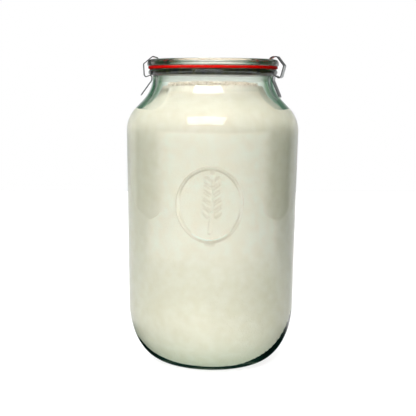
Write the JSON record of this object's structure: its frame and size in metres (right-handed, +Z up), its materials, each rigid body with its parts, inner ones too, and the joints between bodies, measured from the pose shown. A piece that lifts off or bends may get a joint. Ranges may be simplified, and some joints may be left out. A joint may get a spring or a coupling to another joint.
{
  "type": "sourdough starter jar",
  "caption": "Wide-mouthed glass preserving jar of sourdough starter, with a glass lid on a red rubber ring, held by spring steel clips.",
  "frame": {"origin": "centre of the jar's base, on the plane that it stands on", "axes": "+Z up along the jar's axis, -Y to the front as pictured, +X to the right"},
  "size_m": [0.144, 0.144, 0.2568],
  "materials": {
    "jar_glass": "clear pressed soda-lime glass, faint green",
    "lid_glass": "clear pressed soda-lime glass, faint green",
    "ring_rubber": "smooth vulcanised natural rubber, red",
    "clip_steel": "rolled spring stainless strip",
    "starter_dough": "moist cream dough with fine bubbles"
  },
  "bodies": {
    "jar": {"jar_glass": "jar_glass", "starter": "starter_dough"},
    "lid": {"lid_glass": "lid_glass"},
    "ring": {"sealing_ring": "ring_rubber"},
    "clip_left": {"clip_left": "clip_steel"},
    "clip_right": {"clip_right": "clip_steel"}
  },
  "joints": [
    {"name": "lid_lift", "type": "slide", "parent": "jar", "child": "lid", "axis": [0, 0, 1], "range_m": [0, 0.012]},
    {"name": "ring_lift", "type": "slide", "parent": "jar", "child": "ring", "axis": [0, 0, 1], "range_m": [0, 0.006]},
    {"name": "clip_left_off", "type": "slide", "parent": "lid", "child": "clip_left", "axis": [-0.9685, -0.1534, 0.1961], "range_m": [0, 0.036]},
    {"name": "clip_right_off", "type": "slide", "parent": "lid", "child": "clip_right", "axis": [0.9426, -0.2703, 0.1961], "range_m": [0, 0.036]}
  ],
  "couplings": [
    {"joint": "ring_lift", "follows": "lid_lift", "ratio": 0.5},
    {"joint": "clip_left_off", "follows": "lid_lift", "ratio": 3},
    {"joint": "clip_right_off", "follows": "lid_lift", "ratio": 3}
  ]
}
